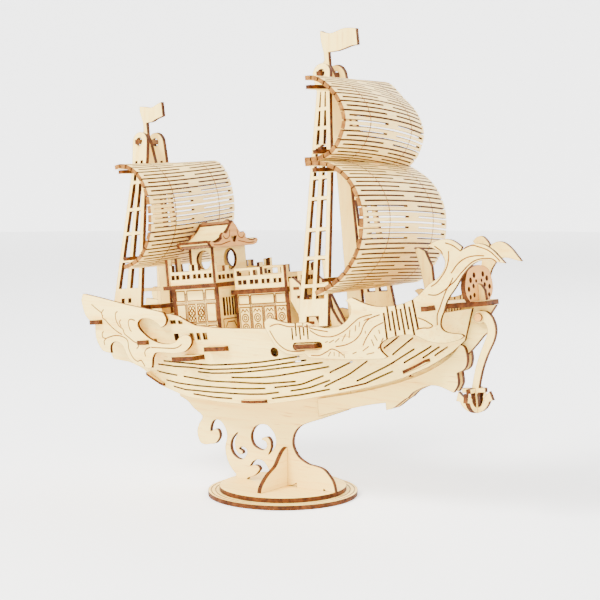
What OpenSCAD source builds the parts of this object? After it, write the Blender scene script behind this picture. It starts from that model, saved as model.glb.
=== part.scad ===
// Sailing ship model built from slotted laser-cut plywood plates, on a round two-disc stand.
// Millimetres. World frame: base centre on the floor at the origin, +X to the bow, +Z up.

/* [Plywood] */
// Thickness of the flat plates
ply = 2; // [1.8:0.1:2.2]
// Thickness of the bent hull and wing plates
skin = 1.5; // [1.2:0.1:1.8]
// Thickness of the bent sail sheets
sail_ply = 1.6; // [1.2:0.1:1.7]
// Width of the cut slits
slit = 0.6; // [0.4:0.1:0.8]

/* [Stand] */
// Radius of the lower base disc
base_r = 32.5; // [30:0.5:36]
// Radius of the upper base disc
step_r = 27.6; // [26:0.2:29]
// Angle the ship is trimmed up at the bow, degrees
trim = 5.8; // [3:0.1:8]

/* [Rig] */
// Half width of the lower main sail
lower_sail_half = 32; // [28:0.5:36]
// Half width of the upper main sail
upper_sail_half = 29.5; // [26:0.5:33]
// Half width of the mizzen sail
mizzen_sail_half = 29.5; // [26:0.5:33]
// Number of slit rows in the upper main sail
upper_rows = 29; // [22:1:31]
// Number of slit rows in the lower main sail
lower_rows = 38; // [28:1:40]
// Number of slit rows in the mizzen sail
mizzen_rows = 32; // [24:1:34]

/* [Anchor] */
// Radius of the anchor's pivot peg
peg_r = 1; // [0.9:0.05:1.2]
// Radial running clearance at the pivot
pivot_gap = 0.06; // [0.03:0.01:0.09]

/* [Hidden] */
top_z = 2 * ply;                 // upper face of the stand's upper disc
half = ply / 2;
fit = 0.1;                       // side clearance of plates that lean through a slot
$fn = 40;

// ---------------------------------------------------------------- curves and placing
function cr(a, b, c, d, t) =
    0.5 * (2 * b + (c - a) * t + (2 * a - 5 * b + 4 * c - d) * t * t + (3 * b - a - 3 * c + d) * t * t * t);
function at(p, i) = p[min(max(i, 0), len(p) - 1)];
// smooth open curve through the points, n steps a span
function run(p, n = 3) = concat(
    [for (i = [0 : len(p) - 2]) for (k = [0 : n - 1]) cr(at(p, i - 1), p[i], p[i + 1],
        at(p, i + 2), k / n)],
    [p[len(p) - 1]]);
// smooth closed curve through the points
function ring(p, n = 3) = [for (i = [0 : len(p) - 1]) for (k = [0 : n - 1])
    cr(p[(i + len(p) - 1) % len(p)], p[i], p[(i + 1) % len(p)], p[(i + 2) % len(p)], k / n)];
// an outline joined from several stretches, without the points that they share
function joined(p) = [for (i = [0 : len(p) - 1]) if (i == 0 || norm(p[i] - p[i - 1]) > 0.05) p[i]];
function mix(a, b, t) = a + (b - a) * t;
function clamp(t) = min(max(t, 0), 1);
// outline of a symmetric plate from its right half, top to bottom or bottom to top
function both(p) = concat(p, [for (i = [len(p) - 1 : -1 : 0]) [-p[i][0], p[i][1]]]);
// the same for a deck plan, whose second coordinate is the half breadth
function side_pair(p) = concat(p, [for (i = [len(p) - 1 : -1 : 0]) [p[i][0], -p[i][1]]]);
// a ship-frame point in the stand's frame
function world(p) = [p[0] * cos(trim) - p[1] * sin(trim), p[0] * sin(trim) + p[1] * cos(trim) + top_z];

module ship() translate([0, 0, top_z]) rotate([0, -trim, 0]) children();
module xz(y0, t = ply) translate([0, y0 + t, 0]) rotate([90, 0, 0]) linear_extrude(t) children();
module yz(x0, t = ply) translate([x0, 0, 0]) rotate([90, 0, 90]) linear_extrude(t) children();
module xy(z0, t = ply) translate([0, 0, z0]) linear_extrude(t) children();
module rect(a, b) translate(a) square([b[0] - a[0], b[1] - a[1]]);
module box(a, b) translate(a) cube([b[0] - a[0], b[1] - a[1], b[2] - a[2]]);
module port() mirror([0, 1, 0]) children();
module pair() {
    children();
    port() children();
}
birch = [0.93, 0.84, 0.66];
birch2 = [0.9, 0.79, 0.58];
burnt = [0.62, 0.4, 0.2];

// ---------------------------------------------------------------- hull form (starboard, half breadths)
rail_y = [[-86, 20.4], [-65, 22], [-40, 22.8], [-24, 23.3], [-10, 24.6], [2, 25.3], [18, 25.5],
    [40, 25.3],
          [50, 25], [60, 24], [70, 22], [80, 18], [90, 11.5], [96, 6], [101.4, 2.55]];
rail_z = [[-86, 84], [-60, 79.5], [-40, 78], [-34, 77.6], [-29, 75.6], [-24.4, 72.6], [-9.7, 70.9],
    [2, 70.3],
          [17, 69.8], [40, 69.4], [60, 69.5], [80, 70.6], [104, 72.9]];
foot_y = [[-84, 9.5], [-66, 11.5], [-52, 14], [-37, 16], [-17, 18], [-3, 19], [28, 19.4], [42, 18.6],
    [58, 16],
          [72, 12.8], [84, 8.6], [92, 5], [97, 2.55]];
foot_z = [[-84, 57.8], [-72, 56.2], [-65, 53.4], [-52, 45.4], [-37, 40.8], [-17, 38.5], [-3, 37.6],
    [9, 37.4],
          [28, 39.3], [42, 41.2], [58, 43.5], [72, 46.3], [84, 50.8], [92, 55.6], [97, 60]];
// half breadth of the hull's outer face at a station and height
function hull_y(x, z) = mix(lookup(x, foot_y), lookup(x, rail_y),
    clamp((z - lookup(x, foot_z)) / (lookup(x, rail_z) - lookup(x, foot_z))));
stations = [for (i = [0 : 38]) -84 + i * 181 / 38];
function rail_x(x) = x < 80 ? x - (x < -60 ? 2 * (-60 - x) / 24 : 0) : x + 4.4 * pow((x - 80) / 17,
    1.3);
function side_point(x, s, inset) =
    let (a = [x, lookup(x, foot_y) - inset, lookup(x, foot_z)],
         b = [rail_x(x), lookup(rail_x(x), rail_y) - inset, lookup(rail_x(x), rail_z)])
    mix(a, b, s);
// closed sheet from two rows of points, outer and inner
module sheet(outer, inner) {
    n = len(outer[0]);
    m = len(outer);
    points = concat([for (r = outer) for (p = r) p], [for (r = inner) for (p = r) p]);
    o = n * m;
    faces = concat(
        [for (j = [0 : m - 2]) for (i = [0 : n - 2]) each [
            [j * n + i, j * n + i + 1, (j + 1) * n + i + 1],
                [j * n + i, (j + 1) * n + i + 1, (j + 1) * n + i],
            [o + j * n + i, o + (j + 1) * n + i + 1, o + j * n + i + 1],
            [o + j * n + i, o + (j + 1) * n + i, o + (j + 1) * n + i + 1]]],
        [for (i = [0 : n - 2]) each [
            [i, o + i + 1, i + 1], [i, o + i, o + i + 1],
            [(m - 1) * n + i, (m - 1) * n + i + 1, o + (m - 1) * n + i + 1],
            [(m - 1) * n + i, o + (m - 1) * n + i + 1, o + (m - 1) * n + i]]],
        [for (j = [0 : m - 2]) each [
            [j * n, (j + 1) * n, o + (j + 1) * n], [j * n, o + (j + 1) * n, o + j * n],
            [j * n + n - 1, o + (j + 1) * n + n - 1, (j + 1) * n + n - 1],
            [j * n + n - 1, o + j * n + n - 1, o + (j + 1) * n + n - 1]]]);
    polyhedron(points, faces, convexity = 6);
}
// hull side, starboard: y is negative
module hull_sheet(grow = 0) sheet(
    [for (s = [0, 1]) [for (x = stations) let (p = side_point(x, s, -grow)) [p[0], -p[1], p[2]]]],
    [for (s = [0, 1]) [for (x = stations) let (p = side_point(x, s, skin + grow)) [p[0], -p[1],
        p[2]]]]);

// ---------------------------------------------------------------- stand
module base_lower_disc() color(birch) difference() {
    cylinder(r = base_r, h = ply, $fn = 96);
    for (r = [base_r - 1.2, base_r - 3.1]) translate([0, 0, ply - 0.25]) difference() {
        cylinder(r = r, h = 1, $fn = 96);
        translate([0, 0, -1]) cylinder(r = r - 0.3, h = 3, $fn = 96);
    }
    stand_tabs();
}
module base_upper_disc() color(birch) difference() {
    translate([0, 0, ply]) cylinder(r = step_r, h = ply, $fn = 96);
    stand_tabs();
}
cross_x = 2.2;
tab_z = 0.4;
// the tongues of the stand plates that pass down through both discs
module stand_tabs() {
    box([8, -half, tab_z], [22, half, top_z + 1]);
    box([-25, -half, tab_z], [-20, half, top_z + 1]);
    for (s = [-1, 1]) box([cross_x - half, s * 12 - 5, tab_z], [cross_x + half, s * 12 + 5, top_z + 1]);
}
cross_half = [[0, 21], [2.2, 20.6], [4.6, 19], [7, 16.2], [9.3, 13.6], [13.9, 11.3], [17.5, 8.6],
    [19.6, 6.2], [20.3, 4]];
module stand_cross_plate() color(birch2) difference() {
    union() {
        yz(cross_x - half) polygon(both(run(cross_half)));
        for (s = [-1, 1]) box([cross_x - half, s * 12 - 5, tab_z],
            [cross_x + half, s * 12 + 5, top_z + 1]);
    }
    box([-5, -half, 12], [10, half, 30]);
}
stern_scroll = [[-57, 37.6], [-52.5, 35.9], [-48.8, 32.8], [-43.9, 29.8], [-45.9, 26.1], [-47, 22.3],
    [-45.4, 17.9],
    [-42.3, 17], [-39.4, 17.6], [-36.6, 18.2], [-34.3, 21.2], [-34.7, 23.9], [-36.4, 24.8],
        [-39.4, 23.4],
    [-38.7, 27], [-36.6, 28.9], [-33.5, 28.5], [-31, 25.9], [-29.9, 22], [-31, 17.3], [-30.3, 12.8],
    [-28.5, 9.2], [-25.7, 6.2], [-22.6, 4.6]];
stern_hook = [[-18.4, 4.8], [-15.2, 6], [-12.9, 7.9], [-11.9, 9.8], [-14, 11], [-17.3, 10.2]];
stern_arch = [[-17.3, 10.2], [-15.6, 12.4], [-13.2, 13.5], [-10.1, 13.3], [-7.6, 10.9], [-5.2, 6.8],
    [-3.6, 4]];
front_arch = [[3.6, 4], [6, 4.6], [8.4, 6], [13.7, 7.4], [18.6, 6.8], [22.4, 4.8], [23.4, 4]];
front_leg = [[27.9, 4], [27.3, 7], [25.6, 10], [22, 13.2], [17.9, 14.2], [13.7, 14.7], [9, 17],
    [6.4, 20.4],
    [5.7, 23.8], [7, 27.8], [10.6, 31.2], [20.3, 34.8], [33.3, 39.7]];
crescent = [[-23.8, 24.6], [-27, 21.6], [-28.1, 18.2], [-27.1, 15], [-24.2, 12.9], [-21.2, 12.8],
    [-18.9, 15.2],
    [-19, 17.4], [-21.2, 18.4], [-23.4, 17.3], [-21.6, 16.6], [-21.3, 15.3], [-22.8, 14.8],
        [-25, 16.6], [-25.6, 20.4]];
spiral = [[-15.2, 19.6], [-16.7, 23.4], [-15.4, 27], [-12.6, 29], [-8, 29.4], [-4.2, 26.4],
    [-2.9, 22.9], [-3.6, 20],
    [-7.2, 16.2], [-5.9, 19.4], [-6, 22.4], [-8, 24.2], [-10.9, 22.9], [-8.5, 21.9], [-8, 19.8],
        [-10.4, 18]];
seam_x = 40;                     // where the stand's keel ends and the bow keel starts
keel_top = 52;                   // upper edge of the keel inside the hull
lap_z = 46;                      // where keel and frames share their half-lap slots
frame_x = [-58, -36, -8, 20, 46, 70];
module frame_slots() for (x = frame_x) box([x - half, -3, lap_z], [x + half, 3, keel_top + 10]);
module keel_stand_board() color(birch) difference() {
    union() {
        xz(-half) difference() {
            union() {
                polygon(concat(run(stern_scroll), [[-22.4, 4]], [[-19, 4]],
                    run(stern_hook), run(stern_arch),
                    run(front_arch), run(front_leg), [world([seam_x, 33.4])],
                        [world([seam_x, keel_top])],
                    [world([-53, keel_top])]));
                rect([8, tab_z], [22, 8]);
                rect([-25, tab_z], [-20, 6]);
            }
            polygon(ring(crescent));
            polygon(ring(spiral));
        }
    }
    box([cross_x - half, -half - 1, 0], [cross_x + half, half + 1, 12]);
    ship() frame_slots();
}

// ---------------------------------------------------------------- keel at the bow
bow_keel_low = [[seam_x, 33.4], [58, 37], [68, 40.5], [78, 43.6], [88, 47.6], [93.5, 52],
    [97.8, 55.1], [101.5, 58.4],
    [104.7, 61.5], [107.1, 63.1]];
module keel_bow_board() color(birch) difference() {
    ship() xz(-half) union() {
        polygon(concat(run(bow_keel_low), [[106.2, 67], [108.6, 70.2], [111.2, 73.4]], [[96, 73.4]],
            [[88, 60]],
            [[84, keel_top]], [[seam_x, keel_top]]));
    }
    ship() {
        frame_slots();
        translate([pivot[0], 5, pivot[1]]) rotate([90, 0, 0]) cylinder(r = peg_r, h = 10);
    }
}
wave_low = concat([[24, 30]], run([[24, 30], [32, 31.8], [40.2, 33.2], [50, 34.8], [58, 35.6]]),
    run([[58.1, 32.6], [61.3, 33.3], [64.8, 35.4], [67.4, 37]]), run([[68.9, 37.6], [71.6, 39.8],
        [75.5, 41.4]]),
    run([[75.5, 41.4], [79.4, 42.4], [83.3, 42.2], [87, 40.9], [90.3, 39.4]]),
    run([[90.3, 39.4], [92.6, 42.8], [92.5, 47.3]]), run([[92.5, 47.3], [95.2, 48.2], [96.9, 49.9],
        [97.6, 53.2],
    [96.8, 57.4], [94.8, 58.4]]));
wave_top = run([[94.8, 58.4], [90, 53.6], [80, 48.4], [68, 44.6], [54, 41.6], [40, 39.4], [24, 37.6]]);
module wave_plate() ship() xz(-half - ply) polygon(concat(wave_low, wave_top));
module bow_wave_plates() color(birch) pair() wave_plate();

// ---------------------------------------------------------------- hull inside
bottom_line = [[-64, 55], [-52, 47.6], [-37, 42.9], [-17, 40.5], [-3, 39.6], [9, 39.4], [28, 41.2],
    [42, 43.1],
    [58, 45.6], [72, 49], [84, 53.8], [90, 57.4]];
function drop(p, d) = [for (i = [len(p) - 1 : -1 : 0]) [p[i][0], p[i][1] - d]];
bottom_ply = 1.2;
tab_spans = [[-59.4, -49.8], [-2.4, 9.9], [73.8, 84.2]];
function inner_y(x, z) = hull_y(x, z) - skin - 0.15;
module bottom_plan() {
    edge = [for (x = [-64 : 6 : 86]) [x, inner_y(x, lookup(x, bottom_line) - bottom_ply) - 0.2]];
    xy(20, 60) difference() {
        polygon(side_pair(edge));
        rect([-53.5, -half], [seam_x + 46, half]);
    }
    for (t = tab_spans) {
        reach = lookup((t[0] + t[1]) / 2, foot_y) + 2.4;
        for (s = [[-reach, -3], [3, reach]]) box([t[0], s[0], 20], [t[1], s[1], 80]);
    }
}
module bottom_band(extra = 0) {
    line = run(bottom_line, 2);
    xz(-40, 80) polygon(concat([for (p = line) [p[0], p[1] + extra]], drop(line, bottom_ply + extra)));
}
module bottom_sheet() color(birch2) ship() intersection() {
    bottom_band();
    bottom_plan();
}
deck_z = 61;                     // underside of the main deck
deck_edge = [for (x = [-76 : 8.2 : 88]) [x, inner_y(x, deck_z)]];
deck_tabs = [[-16.4, -5.4], [33, 43.2]];
deck_reach = [26.2, 29];
module main_deck() color(birch) ship() difference() {
    union() {
        xy(deck_z) polygon(side_pair(deck_edge));
        for (i = [0, 1]) box([deck_tabs[i][0], -deck_reach[i], deck_z], [deck_tabs[i][1],
            deck_reach[i], deck_z + ply]);
    }
    xz(-half) rect([43, deck_z - 1], [47.6, deck_z + 3]);
}
// transverse frame with a half-lap slot down to the keel
module frame(x) color(birch2) ship() difference() {
    low = lookup(x, bottom_line) + 0.4;
    zs = [low, mix(low, deck_z, 0.5), deck_z];
    yz(x - half) difference() {
        polygon(both([for (z = zs) [min(inner_y(x - 1, z), inner_y(x + 1, z)) - 0.1, z]]));
        if (low < 46) for (s = [-1, 1]) translate([s * 9, 53]) circle(r = 3.6);
    }
    box([x - 5, -half, low - 5], [x + 5, half, lap_z]);
}
module hull_frames() for (x = frame_x) frame(x);

// ---------------------------------------------------------------- hull sides
// cuts along the planking, each through [station, height on the side from 0 at the foot to 1 at the rail]
planks = [
    [[-46.8, 0.38], [-12, 0.51], [31, 0.6]],
    [[-51, 0.31], [-12.6, 0.45], [34, 0.54]],
    [[-26.4, 0.36], [10, 0.45], [41.6, 0.48]],
    [[-53, 0.2], [-46, 0.22], [-40, 0.24]],
    [[-36, 0.25], [-5, 0.29], [26.6, 0.26]],
    [[-7, 0.35], [17.6, 0.36], [44, 0.41]],
    [[-48, 0.12], [-17, 0.2], [10.4, 0.21]],
    [[15, 0.21], [29.4, 0.21], [40.6, 0.29]],
    [[-44, 0.07], [-16, 0.13], [17, 0.14]],
    [[23, 0.14], [33, 0.15], [43, 0.21]],
    [[-32, 0.05], [-20, 0.055], [-9, 0.065]],
    [[12.6, 0.07], [28, 0.07], [42, 0.08]],
    [[43.6, 0.32], [49.4, 0.38], [54.8, 0.44]],
    [[39.8, 0.13], [52, 0.25], [61.2, 0.41]],
    [[54.4, 0.13], [68, 0.26], [80, 0.42]],
    [[46, 0.05], [58, 0.07], [70, 0.16]],
    [[75, 0.24], [80.6, 0.3], [85.6, 0.37]],
    [[82, 0.21], [85, 0.25], [88, 0.28]],
    [[86, 0.15], [88, 0.17], [90.6, 0.19]],
    [[69, 0.56], [72.6, 0.64], [76, 0.71]],
    [[71.6, 0.43], [76, 0.52], [80.6, 0.63]]];
function plank_z(p, x) = side_point(x, lookup(x, p), 0)[2];
module plank_slits() for (p = planks) {
    xs = [for (i = [0 : 8]) mix(p[0][0], p[2][0], i / 8)];
    xz(-40, 38) polygon(concat([for (x = xs) [side_point(x, lookup(x, p), 0)[0],
        plank_z(p, x) - slit / 2]],
        [for (i = [8 : -1 : 0]) [side_point(xs[i], lookup(xs[i], p), 0)[0],
            plank_z(p, xs[i]) + slit / 2]]));
}
gun_ports = [[-36.5, -33.7], [-26.7, -24.4], [-22.6, -20.3], [-18.9, -16.2]];
module side_cuts() {
    plank_slits();
    for (g = gun_ports) box([g[0], -40, 66], [g[1], -10, 69]);
    box([-37.2, -40, 73.4], [-33.8, -10, 75]);
    box([-32.4, -40, 73.2], [-29.8, -10, 74.8]);
    for (t = tab_spans) intersection() {
        bottom_band(0.1);
        box([t[0] - 0.1, -40, 20], [t[1] + 0.1, -3, 70]);
    }
    for (t = deck_tabs) box([t[0] - 0.1, -40, deck_z - 0.1], [t[1] + 0.1, -10, deck_z + ply + 0.1]);
    translate([18.9, -10, 59.7]) rotate([90, 0, 0]) cylinder(r = 2, h = 30);
    box([beam_x[0] - 0.1, -40, beam_z - 0.1], [beam_x[1] + 0.1, -5, beam_z + ply + 0.1]);
    box([low_beam[0] - 0.1, -40, low_beam_z - 0.1], [low_beam[1] + 0.1, -5, low_beam_z + ply + 0.1]);
    box([poop_tab[0] - 0.1, -40, poop_z - 0.1], [poop_tab[1] + 0.1, -5, poop_z + ply + 0.1]);
}
module hull_side() ship() difference() {
    hull_sheet();
    side_cuts();
    shroud_blank(main_shroud, fit);
}
module hull_side_starboard() color(birch) hull_side();
module hull_side_port() color(birch) port() hull_side();
beam_x = [-32, -20.5];
beam_z = 57.5;
module channel_beam() color(birch2) ship() xy(beam_z) rect([beam_x[0], -29.4], [beam_x[1], 29.4]);
low_beam = [-53.2, -48.1];
low_beam_z = 65;
module stern_beam() color(birch2) ship() xy(low_beam_z) rect([low_beam[0], -27], [low_beam[1], 27]);
poop_z = 75;
poop_tab = [-80.4, -74.6];
module poop_deck() color(birch) ship() difference() {
    union() {
        xy(poop_z) polygon(side_pair([for (x = [-80 : 8 : -40]) [x, inner_y(x, poop_z) - 0.1]]));
        box([poop_tab[0], -27.2, poop_z], [poop_tab[1], 27.2, poop_z + ply]);
    }
    xz(-half) rect([-59.8, poop_z - 1], [-54.4, poop_z + 4]);
    shroud_blank(mizzen_shroud, fit);
    port() shroud_blank(mizzen_shroud, fit);
}
module transom() color(birch2) ship() yz(-82.6)
    polygon(both([[hull_y(-82, 60) - skin - 0.2, 60], [hull_y(-82, 74.5) - skin - 0.2, 74.8]]));

// ---------------------------------------------------------------- stern wave boards
stern_board = joined(concat(run([[-86.4, 86.3], [-85.1, 89.1]], 1), run([[-84, 89], [-73.7, 86.6],
    [-59.2, 83], [-46.8, 80.5],
    [-40, 79]]), run([[-38.4, 78.4], [-37.1, 75.6], [-38.2, 73.2],
        [-40.5, 72.2]]), run([[-40.5, 72.2], [-42, 73.8], [-45.4, 75.8],
    [-49, 76.6], [-52.1, 76.2], [-53.9, 74.2], [-53, 72], [-50.9, 70], [-47.9, 67.8], [-44.6, 66.2],
        [-41, 65.2],
    [-37.1, 64.9], [-34.4, 65.2], [-32.3, 66], [-30.4, 67.6], [-28.3, 68.4]]), run([[-28.3, 68.4],
        [-25.6, 68.3], [-24, 66.8], [-24.6, 64], [-28.1, 61.4],
    [-32.6, 60.8], [-37.5, 60.9], [-42, 61.4], [-45.1, 61.1], [-46.8, 58.9], [-47.3, 56.4],
        [-47.8, 54.6]]), run([[-49.4, 54.4], [-53.6, 55.3],
    [-57.3, 56.4], [-60.9, 59.3], [-63.3, 64.4], [-65.4, 66.3], [-68, 66.9], [-70.4, 65.9],
        [-71.2, 63.8], [-71, 61.8]]),
    run([[-73.4, 62.2], [-76.5, 63.6], [-79.3, 69], [-79.1, 75.2]]), run([[-81.6, 76.4],
        [-84.8, 79.6], [-86.3, 85.6]])));
board_y = 23.4;
module stern_wave() ship() difference() {
    xz(-board_y - skin, skin) polygon(stern_board);
    box([poop_tab[0], -40, poop_z], [poop_tab[1], -5, poop_z + ply]);
    box([low_beam[0], -40, low_beam_z], [low_beam[1], -5, low_beam_z + ply]);
}
module stern_wave_starboard() color(birch) stern_wave();
module stern_wave_port() color(birch) port() stern_wave();

// ---------------------------------------------------------------- bow wings and crests
wing_low = [[14, 27], [62, 27], [66, 26.2], [74, 24.4], [79, 22], [85, 19.4], [88, 17.5], [93.6, 13],
    [98.7, 5.4], [121, 3]];
wing_high = [[14, 27.2], [62, 27.2], [70, 26.6], [78, 25.2], [84, 23.6], [89, 21.6], [96, 17],
    [104, 12], [111, 9.4], [121, 7.4]];
function wing_y(x, z) = mix(lookup(x, wing_low), lookup(x, wing_high), clamp((z - 62) / 18));
hinge = 1.67;                    // pitch of the long cuts that let the wing bend
first_cut = 74.4;
hinge_aft = 1.92;                // the same for the shorter cuts at its after end
first_cut_aft = 31;
wing_outline = joined(concat(run([[18, 69.6], [17.6, 72.4], [20.4, 74.2], [24.2, 73]],
    2), run([[24.2, 73], [30, 71.6], [36.7, 71.6], [40, 71.4], [43.6, 69.8],
    [49.2, 68.9], [54, 69.4], [58, 71.3], [60.6, 74.4], [60.6, 77.6],
        [58.6, 79.6]]), run([[58.6, 79.6], [61.5, 80.5], [66.7, 78.1], [72.1, 76.5],
    [79.1, 76.4], [84.7, 77.7], [88.9, 79.9], [92.5, 83.6], [96.1, 86.3], [98.1, 89.8], [98.2, 93],
        [96.5, 96.1],
    [93, 98.6]]), run([[93, 98.6], [96.5, 100.4], [100.1, 100.4], [102.4, 99],
        [104.3, 97]]), run([[104.3, 97], [103.6, 95.2]], 1),
    run([[105.6, 97], [109.2, 97.9], [112.5, 97.2], [115.6, 94.9], [118.1, 92],
        [120.2, 89.4]]), run([[117.2, 90.1], [113.9, 91.1], [110.6, 91.2],
    [107.1, 89.7], [103.8, 86.2], [101.4, 82], [97.4, 76.8], [95.3, 72.4], [94, 69.6], [93.4, 66.6],
        [94.6, 64.3], [98, 62.9],
    [98.7, 61.9]]), run([[97.3, 60.8], [93.6, 60], [88.6, 61.4], [84.7, 64.1], [79.2, 64.5],
        [73.4, 62.9], [71.5, 61.1],
    [71.9, 58.8], [74.1, 56.4]]), run([[72.6, 55.8], [65.5, 55.8], [50.4, 56.4],
        [40, 57.2]]), run([[38.4, 57.4], [36.6, 58.8], [32, 58.6], [27, 59.4], [22, 62.8],
        [18.4, 68.8]], 2)));
wing_cols = concat([14, 38], [for (i = [-4 : 14]) first_cut + 0.3 + i * 2 * hinge]);
wing_rows = [54, 62, 66, 70, 74, 78, 82, 102];
module wing_sheet() sheet(
    [for (z = wing_rows) [for (x = wing_cols) [x, -wing_y(x, z), z]]],
    [for (z = wing_rows) [for (x = wing_cols) [x, -wing_y(x, z) + skin, z]]]);
module wing_cuts() {
    for (i = [0 : 7]) {
        x = first_cut + i * hinge;
        if (i % 2 == 0) box([x, -40, 60], [x + slit, -10, 73.8 + i * 0.3]);
        else box([x, -40, 66.6], [x + slit, -10, 82]);
    }
    for (i = [0 : 4]) {
        x = first_cut_aft + i * hinge_aft;
        if (i % 2 == 0) box([x, -40, 64.8], [x + slit, -10, 69.6 + i * 0.3]);
        else box([x, -40, 66.2], [x + slit, -10, 76]);
    }
    box([fore_tab[0], -40, fore_z], [fore_tab[1], -5, fore_z + ply]);
    translate([31, 0, deck_z - 0.6]) rotate([90, 0, 0]) linear_extrude(40) union() {
        rect([1.6, 0], [13, ply + 1.2]);
        translate([1.6, half + 0.6]) circle(r = half + 0.6);
        translate([13, half + 0.6]) circle(r = half + 0.6);
    }
}
module bow_wing() ship() difference() {
    intersection() {
        wing_sheet();
        xz(-40, 40) polygon(wing_outline);
    }
    wing_cuts();
    shroud_blank(main_shroud, fit);
}
module bow_wing_starboard() color(birch) bow_wing();
module bow_wing_port() color(birch) port() bow_wing();

// ---------------------------------------------------------------- bow deck and figurehead
fore_z = 73.4;                   // underside of the bow deck
fore_tab = [90.6, 93.2];
module fore_deck() color(birch) ship() difference() {
    union() {
        xy(fore_z) polygon(side_pair([[80, 14], [87, 15.6], [92, 13.6], [98, 10.4], [104, 7.6],
            [107, 6.6], [109.4, 5]]));
        box([fore_tab[0], -23.4, fore_z], [fore_tab[1], 23.4, fore_z + ply]);
    }
    box([figure_x, -2, fore_z - 1], [figure_x + ply, 2, fore_z + 3]);
}
figure_x = 102;
module figurehead_panel() color(burnt) ship() difference() {
    yz(figure_x) union() {
        polygon(both(run([[8, fore_z + ply], [10.6, 78], [11.2, 82], [8.8, 87], [5.6, 88.6],
            [2.4, 89.2], [0, 89.4]])));
        rect([-2, fore_z], [2, fore_z + 4]);
    }
    yz(figure_x - 1, ply + 2) for (s = [-1, 1]) {
        for (h = [[3.6, 85.6, 1.1], [6.6, 83.8, 1.1], [8.4, 80.4, 1], [7.6, 77.2, 0.9],
            [4.6, 81.4, 0.9], [4.4, 77.8, 0.9]])
            translate([s * h[0], h[1]]) circle(r = h[2]);
        translate([s * 2.2, 83.2]) circle(r = 0.7);
    }
}
module figurehead_rib() color(birch) ship() xz(-half) polygon(
    [[figure_x + ply, fore_z + ply], [figure_x + ply + 3, fore_z + ply], [figure_x + ply + 2.6, 79.4],
     [figure_x + ply + 1.2, 81.6], [figure_x + ply, 82]]);
module foredeck_post() color(birch) ship() xz(-half) polygon(
    [[80.4, fore_z + ply], [84, fore_z + ply], [83.6, 90], [81, 96.4], [78, 98], [76.6, 97.2],
        [78.4, 90]]);

// ---------------------------------------------------------------- cabins
floor_z = deck_z + ply;          // top of the main deck
aft_x = [-38, -12];              // outer faces of the aft cabin's end walls
aft_half = 18.2;
aft_rail_half = 20;              // the gallery overhangs the cabin walls
aft_top = 88;
groove = 0.3;
module aft_side_wall() ship() difference() {
    xz(-aft_half) rect([aft_x[0] + ply, floor_z], [aft_x[1] - ply, aft_top]);
    // engraved frame lines round the lattice doors
    for (x = [-30.4, -20]) box([x - 0.25, -aft_half - 1, 70], [x + 0.25, -aft_half + groove, 86]);
    for (z = [72.8, 81.8]) box([aft_x[0] + ply, -aft_half - 1, z - 0.25],
        [aft_x[1] - ply, -aft_half + groove, z + 0.25]);
}
module aft_side_walls() color(birch) pair() aft_side_wall();
module window(y0, y1, z0, z1, bars) difference() {
    rect([y0, z0], [y1, z1]);
    for (i = [1 : bars]) translate([mix(y0, y1, i / (bars + 1)) - 0.45, z0]) square([0.9, z1 - z0]);
}
module aft_wall_front() color(birch2) ship() yz(aft_x[1] - ply) difference() {
    rect([-aft_half, floor_z], [aft_half, aft_top]);
    for (s = [0, 1]) mirror([s, 0]) {
        window(6.4, 16, 75.4, 83.3, 4);
        translate([11.4, floor_z]) circle(r = 4.6);
    }
}
module aft_wall_back() color(birch2) ship() yz(aft_x[0]) difference() {
    rect([-aft_half, floor_z], [aft_half, aft_top]);
    rect([-4, floor_z], [4, 80]);
}
module aft_gallery_floor() color(birch2) ship() xy(aft_top, 1.8) rect([-40.2, -21.4], [-10.6, 21.4]);
rail_foot = aft_top + 1.8;
rail_ply = 1.5;
module pairs(x0, x1, n, z, s = 1.9) for (i = [0 : n - 1]) {
    c = mix(x0, x1, (i + 0.5) / n);
    rect([c - s - 0.35, z - s / 2], [c - 0.35, z + s / 2]);
    rect([c + 0.35, z - s / 2], [c + s + 0.35, z + s / 2]);
}
module aft_side_rail() ship() xz(-aft_rail_half) difference() {
    union() {
        rect([-37, rail_foot], [-12.6, 95.6]);
        rect([-37, 95], [-35.6, 98.6]);
        rect([-26, 95], [-24.4, 98.4]);
        rect([-22.8, 95], [-21, 98.4]);
        rect([-14, 95], [-12.6, 98.4]);
    }
    pairs(-37, -12.6, 4, 93.2);
}
module aft_side_rails() color(birch) pair() aft_side_rail();
module aft_rail_front() color(birch) ship() yz(-12.6, rail_ply) difference() {
    union() {
        rect([-20.6, rail_foot], [20.6, 94.6]);
        for (s = [-1, 1]) translate([s * 19.8 - 0.8, 94]) square([1.6, 4.6]);
        for (s = [-1, 1]) translate([s * 12.4 - 1.4, 94]) square([2.8, 3]);
    }
    for (s = [0, 1]) mirror([s, 0]) pairs(2, 19.4, 3, 92.2);
}
module aft_rail_back() color(birch2) ship() yz(-38.6, rail_ply) difference() {
    union() {
        rect([-20.6, rail_foot], [20.6, 95.6]);
        for (s = [-1, 1]) for (y = [19.4, 13]) translate([s * y - 1.2, 95]) square([2.4, 6.4]);
    }
    for (s = [0, 1]) mirror([s, 0]) pairs(1, 19.4, 3, 92.8);
}
fore_x = [-8.4, 19.5];
fore_half = 10;
fore_top = 84;
module fore_side_wall() ship() difference() {
    xz(-fore_half) rect([fore_x[0], floor_z], [fore_x[1] - ply, fore_top]);
    for (x = [-1.8, 4.8, 11.4]) box([x - 0.2, -fore_half - 1, 64],
        [x + 0.2, -fore_half + groove, x == 4.8 ? 78.6 : 83]);
    box([-1.8, -fore_half - 1, 78.6], [11.4, -fore_half + groove, 79]);
}
module fore_side_walls() color(birch) pair() fore_side_wall();
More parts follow.
